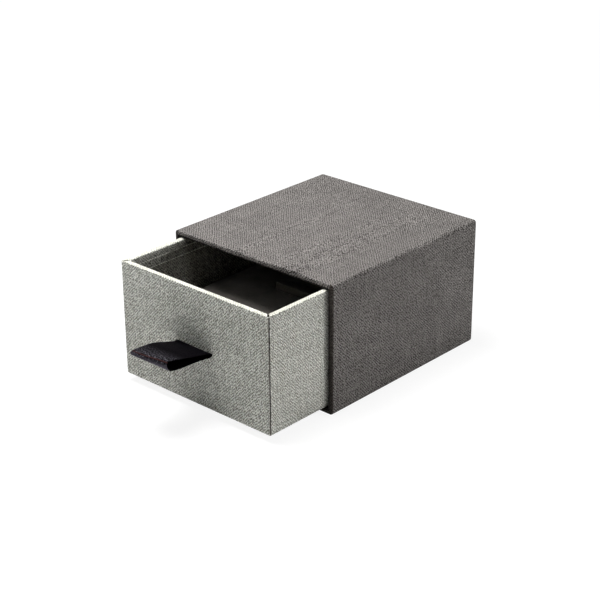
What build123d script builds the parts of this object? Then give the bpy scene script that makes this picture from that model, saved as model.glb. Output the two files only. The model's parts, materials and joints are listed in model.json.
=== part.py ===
"""Ring box with a drawer: a board sleeve closed at the back, and a tray that slides out of its mouth.

Millimetres, +Z up. The origin is the centre of the sleeve's underside, and the mouth faces -Y.
The drawer is modelled where it is shown, pulled part of the way out.
"""

import os

from build123d import *

os.makedirs("parts", exist_ok=True)

# ---------------------------------------------------------------- driving dimensions

# Sheet materials
board = 1.5  # grey board of the sleeve and of the tray
cover_paper = 0.15  # linen-embossed paper glued over the board
lining_paper = 0.15  # smooth paper inside the sleeve
paper_bend = 0.3  # outside radius of the paper where it turns over a board's edge

# Sleeve
sleeve_width = 65.0
sleeve_depth = 68.5
sleeve_height = 42.0
sleeve_edge_radius = 0.9  # the soft long edges, where the board is grooved and folded
mouth_turn_in = 12.0  # how far the cover runs into the mouth
sheet_margin = 2.5  # cover left showing round the base sheet and the back sheet

# Fit of the drawer in the sleeve
side_gap = 0.3
floor_gap = 0.6
ceiling_gap = 0.3
rear_gap = 0.5
pull_out = 24.3  # how far the drawer stands out of the mouth

# Drawer
turn_in_overlap = 0.4  # the cover runs down inside the tray to this far below the pad's edge
slit_below_pad = 1.2  # centre of the ribbon's slit below the pad's edge
corner_seam = 0.25  # hairline where the front and back papers end beside each upright corner

# Ribbon pull
ribbon_width = 15.0
ribbon_thickness = 0.3
ribbon_reach = 18.0  # how far the loop stands out of the drawer's front
ribbon_tip_radius = 1.6
ribbon_tip_rise = 2.0  # height of the tip's centre above the slit
ribbon_arch = 2.75  # height of the upper layer above the slit, half way along
ribbon_tail = 11.0  # glued down behind the front board
slit_clearance = 0.15

# Ring pad
pad_height = 19.5  # pad's edge above the drawer's underside
pad_crown = 0.8
pad_drawn_in = 0.4  # how far each side is drawn in at its middle
pad_edge_radius = 1.4
pad_gap = 0.2  # pad to the paper turned down inside the tray
pad_tail_gap = 0.45  # pad to the ribbon's tail behind the front board
pad_cover = 0.4  # pile fabric over the foam
pad_card = 0.8  # card that the foam is glued to
pad_corner_radius = 1.5

# Slit that holds the ring, with its rear lip standing proud
ring_slit_length = 18.0
ring_slit_width = 0.8
ring_slit_depth = 9.0
ring_slit_from_front = 44.2  # from the drawer's front face
lip_rise = 1.9
lip_length = 9.0

# ---------------------------------------------------------------- worked out

mouth_y = -sleeve_depth / 2
back_y = sleeve_depth / 2
turn_in_end = mouth_y + mouth_turn_in

# The sleeve's four walls, from the outside in
sleeve_board_width = sleeve_width - 2 * cover_paper
sleeve_board_height = sleeve_height - 2 * cover_paper
sleeve_bare_width = sleeve_board_width - 2 * board
sleeve_bare_height = sleeve_board_height - 2 * board
cavity_width = sleeve_bare_width - 2 * lining_paper
cavity_height = sleeve_bare_height - 2 * lining_paper
mouth_width = sleeve_bare_width - 2 * cover_paper
mouth_height = sleeve_bare_height - 2 * cover_paper
sleeve_middle = sleeve_height / 2
cavity_end = back_y - cover_paper - board - lining_paper
narrowest_width = min(cavity_width, mouth_width)
narrowest_height = min(cavity_height, mouth_height)

# The drawer, as a block, and its tray boards
drawer_width = narrowest_width - 2 * side_gap
drawer_height = narrowest_height - floor_gap - ceiling_gap
drawer_length = cavity_end - rear_gap - mouth_y
drawer_bottom = sleeve_middle - narrowest_height / 2 + floor_gap
drawer_top = drawer_bottom + drawer_height
drawer_front = mouth_y - pull_out
drawer_middle = drawer_front + drawer_length / 2
tray_width = drawer_width - 2 * cover_paper
tray_length = drawer_length - 2 * cover_paper
tray_height = drawer_height - 2 * cover_paper
tray_bottom = drawer_bottom + cover_paper
tray_inner_width = tray_width - 2 * board
tray_inner_length = tray_length - 2 * board
rim_opening_width = tray_inner_width - 2 * cover_paper
rim_opening_length = tray_inner_length - 2 * cover_paper
floor_level = tray_bottom + board
front_board_back = drawer_front + cover_paper + board
pad_edge_level = drawer_bottom + pad_height
turn_in_level = pad_edge_level - turn_in_overlap
seam_inset = paper_bend + corner_seam / 2

# The ribbon's slit
slit_level = pad_edge_level - slit_below_pad
slit_width = ribbon_width + 2 * slit_clearance
slit_opening = 2 * (ribbon_thickness + slit_clearance)

# The pad's block, cover included
pad_width = rim_opening_width - 2 * pad_gap
pad_front = front_board_back + 2 * ribbon_thickness + pad_tail_gap
pad_back = drawer_middle + rim_opening_length / 2 - pad_gap
pad_length = pad_back - pad_front
pad_middle = (pad_front + pad_back) / 2
foam_bottom = floor_level + pad_card
crown_level = pad_edge_level + pad_crown
crown_reach = pad_width / 2 - pad_drawn_in - pad_edge_radius
ring_slit_y = drawer_front + ring_slit_from_front
ring_slit_floor = crown_level - ring_slit_depth


def across(y):
    """Plane across the box at y: X to the right, Z up, and what is extruded goes towards the mouth."""
    return Plane.XZ.offset(-y)


def save(builder, name):
    """Label a finished sub-part and write its STEP file."""
    builder.part.label = name
    export_step(builder.part, f"parts/{name}.step")


# ---------------------------------------------------------------- sleeve boards

# One grooved board folded round the drawer: each wall meets the next in a mitre, and the long
# edges outside are rounded by the fold.
outer_x = sleeve_board_width / 2
outer_z = sleeve_board_height / 2
inner_x = sleeve_bare_width / 2
inner_z = sleeve_bare_height / 2
sleeve_walls = {
    "sleeve_top_board": [(-outer_x, outer_z), (outer_x, outer_z), (inner_x, inner_z), (-inner_x, inner_z)],
    "sleeve_bottom_board": [(-outer_x, -outer_z), (-inner_x, -inner_z), (inner_x, -inner_z), (outer_x, -outer_z)],
    "sleeve_left_board": [(-outer_x, -outer_z), (-outer_x, outer_z), (-inner_x, inner_z), (-inner_x, -inner_z)],
    "sleeve_right_board": [(outer_x, -outer_z), (inner_x, -inner_z), (inner_x, inner_z), (outer_x, outer_z)],
}
walls_end = back_y - cover_paper
wall_length = sleeve_depth - 2 * cover_paper
fold_radius = sleeve_edge_radius - cover_paper
for wall_name, corners in sleeve_walls.items():
    with BuildPart() as sleeve_wall:
        with BuildSketch(across(walls_end)):
            with Locations((0, sleeve_middle)):
                RectangleRounded(sleeve_board_width, sleeve_board_height, fold_radius)
                Polygon(*corners, align=None, mode=Mode.INTERSECT)
        extrude(amount=wall_length)
    save(sleeve_wall, wall_name)

# The back board stands inside the folded walls, flush with their ends.
with BuildPart() as sleeve_back_board:
    with BuildSketch(across(walls_end)):
        with Locations((0, sleeve_middle)):
            Rectangle(sleeve_bare_width, sleeve_bare_height)
    extrude(amount=board)
save(sleeve_back_board, "sleeve_back_board")

# ---------------------------------------------------------------- sleeve papers

# The dark cover: round the four walls, turned into the mouth and turned over the back edge.
with BuildPart() as sleeve_wrap:
    with BuildSketch(across(back_y)):
        with Locations((0, sleeve_middle)):
            RectangleRounded(sleeve_width, sleeve_height, sleeve_edge_radius)
    extrude(amount=sleeve_depth)
    with BuildSketch(across(mouth_y)):
        with Locations((0, sleeve_middle)):
            Rectangle(mouth_width, mouth_height)
    extrude(amount=-mouth_turn_in, mode=Mode.SUBTRACT)
    fillet(sleeve_wrap.faces().sort_by(Axis.Y)[0].edges(), radius=paper_bend)
    fillet(sleeve_wrap.faces().sort_by(Axis.Y)[-1].edges(), radius=paper_bend)
    # room for the wall boards
    with BuildSketch(across(walls_end)):
        with Locations((0, sleeve_middle)):
            RectangleRounded(sleeve_board_width, sleeve_board_height, fold_radius)
            Rectangle(sleeve_bare_width, sleeve_bare_height, mode=Mode.SUBTRACT)
    extrude(amount=wall_length, mode=Mode.SUBTRACT)
    # the cavity behind the turned-in edge, with the back board's place
    with BuildSketch(across(turn_in_end)):
        with Locations((0, sleeve_middle)):
            Rectangle(sleeve_bare_width, sleeve_bare_height)
    extrude(amount=turn_in_end - walls_end, mode=Mode.SUBTRACT)
    # places of the sheet on the back and the sheet underneath
    with BuildSketch(across(back_y)):
        with Locations((0, sleeve_middle)):
            Rectangle(sleeve_width - 2 * sheet_margin, sleeve_height - 2 * sheet_margin)
    extrude(amount=cover_paper, mode=Mode.SUBTRACT)
    with BuildSketch(Plane.XY):
        Rectangle(sleeve_width - 2 * sheet_margin, sleeve_depth - 2 * sheet_margin)
    extrude(amount=cover_paper, mode=Mode.SUBTRACT)
save(sleeve_wrap, "sleeve_wrap")

# Sheet that closes the back, between the turned-over edges.
with BuildPart() as sleeve_back_sheet:
    with BuildSketch(across(back_y)):
        with Locations((0, sleeve_middle)):
            Rectangle(sleeve_width - 2 * sheet_margin, sleeve_height - 2 * sheet_margin)
    extrude(amount=cover_paper)
save(sleeve_back_sheet, "sleeve_back_sheet")

# Sheet underneath, which the box stands on.
with BuildPart() as sleeve_base_sheet:
    with BuildSketch(Plane.XY):
        Rectangle(sleeve_width - 2 * sheet_margin, sleeve_depth - 2 * sheet_margin)
    extrude(amount=cover_paper)
save(sleeve_base_sheet, "sleeve_base_sheet")

# Lining: a paper pocket from the end of the turned-in cover to the back board.
with BuildPart() as sleeve_lining:
    with BuildSketch(across(turn_in_end)):
        with Locations((0, sleeve_middle)):
            Rectangle(sleeve_bare_width, sleeve_bare_height)
    extrude(amount=turn_in_end - cavity_end - lining_paper)
    with BuildSketch(across(turn_in_end)):
        with Locations((0, sleeve_middle)):
            Rectangle(cavity_width, cavity_height)
    extrude(amount=turn_in_end - cavity_end, mode=Mode.SUBTRACT)
save(sleeve_lining, "sleeve_lining")

# ---------------------------------------------------------------- tray boards

with BuildPart() as drawer_base_board:
    with BuildSketch(Plane.XY.offset(tray_bottom)):
        with Locations((0, drawer_middle)):
            Rectangle(tray_inner_width, tray_inner_length)
    extrude(amount=board)
save(drawer_base_board, "drawer_base_board")

side_offset = (tray_width - board) / 2
for wall_name, wall_x in (("drawer_left_board", -side_offset), ("drawer_right_board", side_offset)):
    with BuildPart() as drawer_side:
        with BuildSketch(Plane.XY.offset(tray_bottom)):
            with Locations((wall_x, drawer_middle)):
                Rectangle(board, tray_length)
        extrude(amount=tray_height)
    save(drawer_side, wall_name)

end_offset = (tray_length - board) / 2
with BuildPart() as drawer_back_board:
    with BuildSketch(Plane.XY.offset(tray_bottom)):
        with Locations((0, drawer_middle + end_offset)):
            Rectangle(tray_inner_width, board)
    extrude(amount=tray_height)
save(drawer_back_board, "drawer_back_board")

with BuildPart() as drawer_front_board:
    with BuildSketch(Plane.XY.offset(tray_bottom)):
        with Locations((0, drawer_middle - end_offset)):
            Rectangle(tray_inner_width, board)
    extrude(amount=tray_height)
    with BuildSketch(across(drawer_front)):
        with Locations((0, slit_level)):
            Rectangle(slit_width, slit_opening)
    extrude(amount=-(cover_paper + board), mode=Mode.SUBTRACT)
save(drawer_front_board, "drawer_front_board")

# ---------------------------------------------------------------- tray paper

# The pale cover: one sheet under the tray, up the four walls, over the rim and down inside.
with BuildPart() as drawer_wrap:
    with BuildSketch(Plane.XY.offset(drawer_bottom)):
        with Locations((0, drawer_middle)):
            Rectangle(drawer_width, drawer_length)
    extrude(amount=drawer_height)
    with BuildSketch(Plane.XY.offset(drawer_top)):
        with Locations((0, drawer_middle)):
            Rectangle(rim_opening_width, rim_opening_length)
    extrude(amount=turn_in_level - drawer_top, mode=Mode.SUBTRACT)
    fillet(drawer_wrap.edges().filter_by(Axis.Z).group_by(SortBy.LENGTH)[-1], radius=paper_bend)
    fillet(drawer_wrap.faces().sort_by(Axis.Z)[-1].edges(), radius=paper_bend)
    fillet(drawer_wrap.faces().sort_by(Axis.Z)[0].edges(), radius=paper_bend)
    # room for the wall boards
    with BuildSketch(Plane.XY.offset(tray_bottom)):
        with Locations((0, drawer_middle)):
            Rectangle(tray_width, tray_length)
            Rectangle(tray_inner_width, tray_inner_length, mode=Mode.SUBTRACT)
    extrude(amount=tray_height, mode=Mode.SUBTRACT)
    # the tray's inside below the turned-in edge, with the base board's place
    with BuildSketch(Plane.XY.offset(tray_bottom)):
        with Locations((0, drawer_middle)):
            Rectangle(tray_inner_width, tray_inner_length)
    extrude(amount=turn_in_level - tray_bottom, mode=Mode.SUBTRACT)
    with BuildSketch(across(drawer_front)):
        with Locations((0, slit_level)):
            Rectangle(slit_width, slit_opening)
    extrude(amount=-cover_paper, mode=Mode.SUBTRACT)
    # seams up the corners, on the side walls, and the mitres where they cross the rim
    with BuildSketch(Plane.XY.offset(tray_bottom)):
        with Locations((0, drawer_middle)):
            with GridLocations(drawer_width - cover_paper, drawer_length - 2 * seam_inset, 2, 2):
                Rectangle(cover_paper, corner_seam)
    extrude(amount=tray_height, mode=Mode.SUBTRACT)
save(drawer_wrap, "drawer_wrap")

# ---------------------------------------------------------------- ring pad

# Card that carries the foam.
with BuildPart() as pad_card_base:
    with BuildSketch(Plane.XY.offset(floor_level)):
        with Locations((0, pad_middle)):
            RectangleRounded(pad_width - 2 * pad_drawn_in, pad_length - 2 * pad_drawn_in, pad_corner_radius)
    extrude(amount=pad_card)
save(pad_card_base, "pad_card")


def pad_outline(inset):
    """Plan of the pad: each side is drawn in at its middle, between rounded corners."""
    half_width = pad_width / 2 - inset
    front = pad_front + inset
    back = pad_back - inset
    with BuildSketch(Plane.XY.offset(foam_bottom)) as outline:
        with BuildLine():
            ThreePointArc((-half_width, front), (0, front + pad_drawn_in), (half_width, front))
            ThreePointArc((half_width, front), (half_width - pad_drawn_in, pad_middle), (half_width, back))
            ThreePointArc((half_width, back), (0, back - pad_drawn_in), (-half_width, back))
            ThreePointArc((-half_width, back), (-half_width + pad_drawn_in, pad_middle), (-half_width, front))
        make_face()
        fillet(outline.vertices(), radius=pad_corner_radius - inset)
    return outline.sketch


def crown(inset):
    """The pad's crown: a shallow dome on its top, between the rounded edges."""
    crown_radius = (crown_reach**2 + pad_crown**2) / (2 * pad_crown)
    with BuildPart() as dome:
        with Locations((0, pad_middle, pad_edge_level - inset)):
            Box(pad_width, pad_length, 2 * pad_crown, align=(Align.CENTER, Align.CENTER, Align.MIN))
        # lying on its side, so that the ball's pole and seam are off the dome
        with Locations((0, pad_middle, crown_level - inset - crown_radius)):
            Sphere(crown_radius, rotation=(90, 0, 0), mode=Mode.INTERSECT)
    return dome.part


def crowned_block(inset):
    """Pad block with a crowned top and soft edges, made smaller all round by the inset."""
    with BuildPart() as block:
        extrude(pad_outline(inset), amount=pad_edge_level - inset - foam_bottom)
        fillet(block.faces().sort_by(Axis.Z)[-1].edges(), radius=pad_edge_radius - inset)
        add(crown(inset))
    return block.part


def rear_lip(inset):
    """The lip behind the ring slit: it stands up at the cut and runs down to the pad in an arch."""
    foot = (ring_slit_y + lip_length, pad_edge_level - inset)
    crest = (ring_slit_y, crown_level + lip_rise - inset)
    half_way = (ring_slit_y + lip_length / 2, crown_level + lip_rise / 2 - inset)
    with BuildPart() as lip:
        with BuildSketch(Plane.YZ):
            with BuildLine():
                Polyline(foot, (ring_slit_y, pad_edge_level - inset), crest)
                ThreePointArc(crest, half_way, foot)
            make_face()
        extrude(amount=ring_slit_length / 2 - inset, both=True)
    return lip.part


def ring_slit():
    """The cut that takes the ring, from below the pad's surface up past the lip."""
    with BuildPart() as cut:
        with BuildSketch(Plane.XY.offset(ring_slit_floor)):
            with Locations((0, ring_slit_y)):
                Rectangle(ring_slit_length, ring_slit_width)
        extrude(amount=ring_slit_depth + lip_rise)
    return cut.part


with BuildPart() as foam_insert:
    add(crowned_block(pad_cover))
    add(rear_lip(pad_cover))
    add(ring_slit(), mode=Mode.SUBTRACT)
save(foam_insert, "foam_insert")

# Pile fabric over the foam: the same form one cover larger, less the foam's own.
with BuildPart() as insert_cover:
    add(crowned_block(0))
    add(rear_lip(0))
    add(crowned_block(pad_cover), mode=Mode.SUBTRACT)
    add(rear_lip(pad_cover), mode=Mode.SUBTRACT)
    add(ring_slit(), mode=Mode.SUBTRACT)
save(insert_cover, "insert_cover")

# ---------------------------------------------------------------- ribbon pull

# A strap doubled into a loop: the lower layer lies nearly flat, the upper one arches over it,
# and both go through the slit and down behind the front board.
tip_centre_y = drawer_front - ribbon_reach + ribbon_tip_radius
tip_centre_z = slit_level + ribbon_tip_rise
half_root = ribbon_thickness
with BuildPart() as ribbon_pull:
    with BuildSketch(Plane.YZ):
        with BuildLine():
            tip = CenterArc((tip_centre_y, tip_centre_z), ribbon_tip_radius, 80, 180)
            ThreePointArc(
                (drawer_front, slit_level + half_root),
                ((drawer_front + tip_centre_y) / 2, slit_level + ribbon_arch),
                tip @ 0,
            )
            Line(tip @ 1, (drawer_front, slit_level - half_root))
            Line((drawer_front, slit_level - half_root), (drawer_front, slit_level + half_root))
        make_face()
        offset(amount=-ribbon_thickness, mode=Mode.SUBTRACT)
    extrude(amount=ribbon_width / 2, both=True)
    with BuildSketch(Plane.YZ):
        with Locations((drawer_front, slit_level)):
            Rectangle(
                cover_paper + board + 2 * ribbon_thickness,
                2 * ribbon_thickness,
                align=(Align.MIN, Align.CENTER),
            )
        with Locations((front_board_back, slit_level)):
            Rectangle(2 * ribbon_thickness, ribbon_tail, align=(Align.MIN, Align.MAX))
    extrude(amount=ribbon_width / 2, both=True)
save(ribbon_pull, "ribbon_pull")
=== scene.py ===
"""Ring box with a drawer, dressed for rendering over its CAD frame.

The box is grey board covered in linen-embossed paper: a dark sleeve closed at the back, and a
pale tray that slides out of it, with a pile-covered ring pad inside and a doubled satin ribbon to
pull it by. Metres, +Z up. The origin is the centre of the sleeve's underside, and its mouth faces
-Y.
"""

import json
import logging
import math
from collections.abc import Callable
from dataclasses import dataclass, field
from enum import Enum, IntEnum
from functools import partial
from typing import Any

import bmesh
import bpy
from mathutils import Matrix, Vector, noise


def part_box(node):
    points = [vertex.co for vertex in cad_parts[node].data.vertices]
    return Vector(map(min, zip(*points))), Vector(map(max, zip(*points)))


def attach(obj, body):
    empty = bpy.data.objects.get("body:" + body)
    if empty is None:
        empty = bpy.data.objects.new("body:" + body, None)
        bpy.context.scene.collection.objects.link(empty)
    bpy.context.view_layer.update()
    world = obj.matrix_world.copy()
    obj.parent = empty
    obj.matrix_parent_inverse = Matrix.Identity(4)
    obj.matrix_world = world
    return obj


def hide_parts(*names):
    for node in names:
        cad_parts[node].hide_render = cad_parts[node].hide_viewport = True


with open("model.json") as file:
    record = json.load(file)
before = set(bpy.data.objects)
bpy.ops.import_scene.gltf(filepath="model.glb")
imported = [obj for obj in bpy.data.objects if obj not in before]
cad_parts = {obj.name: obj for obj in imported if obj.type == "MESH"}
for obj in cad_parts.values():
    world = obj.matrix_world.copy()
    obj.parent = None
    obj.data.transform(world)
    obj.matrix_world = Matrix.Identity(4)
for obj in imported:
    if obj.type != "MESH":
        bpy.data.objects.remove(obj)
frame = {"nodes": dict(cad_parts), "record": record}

log = logging.getLogger("ring_box")

Face = bmesh.types.BMFace
Edge = bmesh.types.BMEdge
Piece = bpy.types.Object
Tree = bpy.types.NodeTree
Node = bpy.types.Node
FaceTest = Callable[[Face], bool]
EdgeTest = Callable[[Edge], bool]
AddNode = Callable[..., Node]
Points = tuple[tuple[float, float], ...]

MM = 0.001
TOUCHING = 0.01 * MM  # two places nearer than this are the same
FACING = 0.9  # least share of a face's normal along a direction that the face looks in
LEANING = 0.3  # the same where the faces of a rounding count too
STRAIGHT = 0.999  # least share of an edge's length along an axis that it runs along
SHARP = 1.0  # least angle between the faces of a sharp edge, in radians
SMOOTH_BELOW = math.radians(35)  # edges at less than this angle are shaded smooth


# ---------------- where things are


@dataclass(frozen=True)
class Span:
    """The box that a CAD node fills at rest.

    Args:
        low: Its lowest corner, in metres.
        high: Its highest corner, in metres.
    """

    low: Vector
    high: Vector

    @classmethod
    def of(cls, node: str) -> "Span":
        """Return the box of the named CAD node."""
        return cls(*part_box(node))

    @property
    def middle(self) -> Vector:
        """Its centre."""
        return (self.low + self.high) / 2

    @property
    def size(self) -> Vector:
        """Its three sides."""
        return self.high - self.low


def span_of(node: str) -> Any:
    """Return a dataclass field that holds the box of the named CAD node."""
    return field(default_factory=lambda: Span.of(node))


class Axis(Enum):
    """The box's three directions."""

    ACROSS = 0
    DEEP = 1
    UP = 2

    @property
    def direction(self) -> Vector:
        """The direction as a unit vector."""
        return Vector(1.0 if i == self.value else 0.0 for i in range(3))


def near(a: float, b: float) -> bool:
    """Say whether two places along an axis are the same."""
    return abs(a - b) < TOUCHING


def clamp(value: float, low: float, high: float) -> float:
    """Return the value kept between two limits."""
    return max(low, min(high, value))


def ease(value: float) -> float:
    """Return a smooth step from 0 to 1 for a value from 0 to 1."""
    value = clamp(value, 0.0, 1.0)
    return value * value * (3 - 2 * value)


# ---------------- modelling


class Element(Enum):
    """What an operator acts on, by the name of its list in the mesh."""

    EDGE = "edges"
    FACE = "faces"


def edges_at(axis: Axis, level: float) -> EdgeTest:
    """Return a test for the edges that lie at a level of an axis."""
    return lambda edge: all(near(v.co[axis.value], level) for v in edge.verts)


def edges_along(axis: Axis) -> EdgeTest:
    """Return a test for the edges whose ends lie at two levels of an axis."""
    return lambda edge: not near(*(v.co[axis.value] for v in edge.verts))


def faces_at(axis: Axis, level: float) -> FaceTest:
    """Return a test for the flat faces that look along an axis and lie at a level of it."""
    i = axis.value
    return lambda face: abs(face.normal[i]) > FACING and near(face.calc_center_median()[i], level)


@dataclass
class Bench:
    """Edit-mode work on one piece, where operators act on what is picked by place or direction.

    Args:
        piece: The mesh object that is worked on.
    """

    piece: Piece

    def __enter__(self) -> "Bench":
        """Select only this piece and enter edit mode.

        Returns:
            The bench.
        """
        make_active(self.piece)
        bpy.ops.object.mode_set(mode="EDIT")
        bpy.ops.mesh.select_all(action="DESELECT")
        return self

    def __exit__(self, *_: object) -> None:
        """Leave edit mode."""
        bpy.ops.object.mode_set(mode="OBJECT")

    def pick(self, kind: Element, test: Callable[[Any], bool]) -> int:
        """Select only the elements that pass a test.

        Args:
            kind: Whether edges or faces are picked.
            test: Says whether one is picked.

        Returns:
            How many are.
        """
        bpy.ops.mesh.select_mode(type=kind.name)
        bpy.ops.mesh.select_all(action="DESELECT")
        shape = bmesh.from_edit_mesh(self.piece.data)
        chosen = [element for element in getattr(shape, kind.value) if test(element)]
        for element in chosen:
            element.select_set(True)
        bmesh.update_edit_mesh(self.piece.data)
        return len(chosen)

    def move_points(self, move: Callable[[Vector], Vector], only_selected: bool = False) -> None:
        """Move points to where a rule says.

        Args:
            move: Gives a point's new place from its old one.
            only_selected: Leave the points that aren't selected.
        """
        shape = bmesh.from_edit_mesh(self.piece.data)
        for point in shape.verts:
            if point.select or not only_selected:
                point.co = move(point.co.copy())
        bmesh.update_edit_mesh(self.piece.data)

    def cut(self, faces: FaceTest, place: Vector, *square_to: Vector) -> None:
        """Cut the picked faces by planes.

        Args:
            faces: Picks the faces to cut.
            place: A point that the planes go through.
            square_to: The direction that each plane is square to.
        """
        for direction in square_to:
            self.pick(Element.FACE, faces)
            bpy.ops.mesh.bisect(plane_co=place, plane_no=direction, threshold=TOUCHING / 10)

    def outline(self, faces: FaceTest, hole: Span, *ways: Axis) -> FaceTest:
        """Cut the picked faces along the sides of a rectangle.

        Args:
            faces: Picks the faces to cut.
            hole: The rectangle.
            ways: The two directions that its sides lie along.

        Returns:
            A test for the picked faces inside it.
        """
        for corner in (hole.low, hole.high):
            self.cut(faces, corner, *(way.direction for way in ways))

        def inside(face: Face) -> bool:
            """Say whether a picked face is inside the rectangle."""
            place, low, high = face.calc_center_median(), hole.low, hole.high
            return faces(face) and all(low[w.value] < place[w.value] < high[w.value] for w in ways)

        return inside

    def groove(
        self,
        faces: FaceTest,
        middle: Vector,
        square_to: Vector,
        width: float,
        depth: float,
        finish: int,
    ) -> None:
        """Sink a narrow straight groove, or raise a ridge, in the picked faces.

        Args:
            faces: Picks the faces that it runs over.
            middle: A point in its middle.
            square_to: The direction across it.
            width: Its width.
            depth: How deep it is sunk, or less than nothing for a ridge.
            finish: Number of the piece's finish that its faces take.
        """
        across = square_to.normalized()
        self.cut(faces, middle - across * width / 2, square_to)
        self.cut(faces, middle + across * width / 2, square_to)

        def inside(face: Face) -> bool:
            """Say whether a face is between the two cuts."""
            away = (face.calc_center_median() - middle).dot(across)
            return faces(face) and abs(away) < width / 2

        if self.pick(Element.FACE, inside):
            bpy.ops.mesh.extrude_region_shrink_fatten(
                TRANSFORM_OT_shrink_fatten={"value": -depth, "use_even_offset": True}
            )
            self.give_finish(finish)

    def give_finish(self, number: int, faces: FaceTest | None = None) -> None:
        """Give faces one of the piece's finishes.

        Args:
            number: The finish's place in the piece's list.
            faces: Picks the faces, or nothing for those that are selected.
        """
        if faces:
            self.pick(Element.FACE, faces)
        shape = bmesh.from_edit_mesh(self.piece.data)
        for face in shape.faces:
            if face.select:
                face.material_index = number
        bmesh.update_edit_mesh(self.piece.data)

    def remove(self, faces: FaceTest) -> None:
        """Delete the picked faces."""
        self.pick(Element.FACE, faces)
        bpy.ops.mesh.delete(type="FACE")

    def turn_over(self, axis: Axis, level: float, opening: Span, drop: float = 0.0) -> None:
        """Turn an open rim over the board's edge and down inside it.

        Args:
            axis: The direction that the rim faces along.
            level: Where the rim is on that axis.
            opening: The opening that is left inside the rim.
            drop: How far it then runs along the axis, or nothing for a flat hem.
        """
        self.pick(Element.EDGE, edges_at(axis, level))
        bpy.ops.mesh.extrude_region_move()

        def draw_in(place: Vector) -> Vector:
            """Return a point's place on the opening's edge."""
            for i in {0, 1, 2} - {axis.value}:
                place[i] = clamp(place[i], opening.low[i], opening.high[i])
            return place

        self.move_points(draw_in, only_selected=True)
        if drop:
            move = {"value": axis.direction * drop}
            bpy.ops.mesh.extrude_region_move(TRANSFORM_OT_translate=move)
        bpy.ops.mesh.select_all(action="SELECT")
        bpy.ops.mesh.remove_doubles(threshold=TOUCHING)

    def soften(self, test: EdgeTest, radius: float, steps: int) -> None:
        """Round the picked sharp edges.

        Args:
            test: Picks edges, of which only those between faces at an angle are rounded.
            radius: The rounding's radius.
            steps: How many faces make the rounding.
        """

        def sharp(edge: Edge) -> bool:
            """Say whether a picked edge lies between faces at an angle."""
            return len(edge.link_faces) == 2 and edge.calc_face_angle() > SHARP and test(edge)

        self.pick(Element.EDGE, sharp)
        bpy.ops.mesh.bevel(offset=radius, segments=steps, affect="EDGES", clamp_overlap=True)

    def divide(self, axis: Axis, longest: float) -> None:
        """Cut all long edges that run along an axis into equal lengths.

        Args:
            axis: The direction of the edges.
            longest: The longest length that may be left. Edges up to four times that stay whole.
        """
        lengths = []

        def long_run(edge: Edge) -> bool:
            """Say whether an edge is long and runs along the axis, and note its length.

            Args:
                edge: An edge of the piece.

            Returns:
                Whether it is and does.
            """
            run = edge.verts[1].co - edge.verts[0].co
            found = abs(run[axis.value]) > STRAIGHT * run.length and run.length > 4 * longest
            if found:
                lengths.append(run.length)
            return found

        if self.pick(Element.EDGE, long_run):
            cuts = math.ceil(max(lengths) / longest) - 1
            bpy.ops.mesh.subdivide(number_cuts=cuts, quadcorner="STRAIGHT_CUT")


def make_active(piece: Piece) -> None:
    """Select only this piece and make it the active one.

    Args:
        piece: The piece.
    """
    bpy.ops.object.select_all(action="DESELECT")
    piece.select_set(True)
    bpy.context.view_layer.objects.active = piece


def add_block(name: str, span: Span) -> Piece:
    """Add the block that a piece is cut and folded from.

    Args:
        name: The piece's name.
        span: The box that it fills.

    Returns:
        The new object, with its place in its mesh.
    """
    bpy.ops.object.select_all(action="DESELECT")
    bpy.ops.mesh.primitive_cube_add(size=1.0, location=span.middle, scale=span.size)
    bpy.ops.object.transform_apply(location=True, rotation=True, scale=True)
    piece = bpy.context.object
    piece.name = piece.data.name = name
    return piece


def finish_piece(piece: Piece, thickness: float = 0.0, level: int = 0) -> None:
    """Give a folded sheet its thickness, round it off and shade it.

    Args:
        piece: The piece, whose faces point outwards.
        thickness: The sheet's thickness, added behind its face.
        level: How many times it is subdivided.
    """
    make_active(piece)
    if thickness:
        solid = piece.modifiers.new("thickness", "SOLIDIFY")
        solid.thickness = thickness
        solid.offset = -1.0
        bpy.ops.object.modifier_apply(modifier=solid.name)
    if level:
        rounder = piece.modifiers.new("rounding", "SUBSURF")
        rounder.levels = rounder.render_levels = level
        bpy.ops.object.modifier_apply(modifier=rounder.name)
    bpy.ops.object.shade_smooth_by_angle(angle=SMOOTH_BELOW)


# ---------------- materials


def colour(hex_code: str) -> tuple[float, float, float, float]:
    """Turn an sRGB hex code to a linear colour.

    Args:
        hex_code: The colour as #rrggbb.

    Returns:
        Red, green and blue, linear, and alpha.
    """
    channels = (int(hex_code[i : i + 2], 16) / 255 for i in (1, 3, 5))
    linear = [c / 12.92 if c <= 0.04045 else ((c + 0.055) / 1.055) ** 2.4 for c in channels]
    return (linear[0], linear[1], linear[2], 1.0)


def add_node(
    tree: Tree,
    kind: str,
    settings: dict[str | int, Any] | None = None,
    links: dict[str | int, Node | bpy.types.NodeSocket] | None = None,
) -> Node:
    """Add a shader node with its settings and links.

    Args:
        tree: The material's or world's nodes.
        kind: The node's type.
        settings: Values by the node's property, or by its input's name or number.
        links: What goes to an input: an output, or a node for its first output.

    Returns:
        The new node.
    """
    node = tree.nodes.new(kind)
    for key, value in (settings or {}).items():
        if isinstance(key, str) and key in node.bl_rna.properties:
            setattr(node, key, value)
        else:
            node.inputs[key].default_value = value
    for key, source in (links or {}).items():
        output = source.outputs[0] if isinstance(source, Node) else source
        tree.links.new(output, node.inputs[key])
    return node


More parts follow.
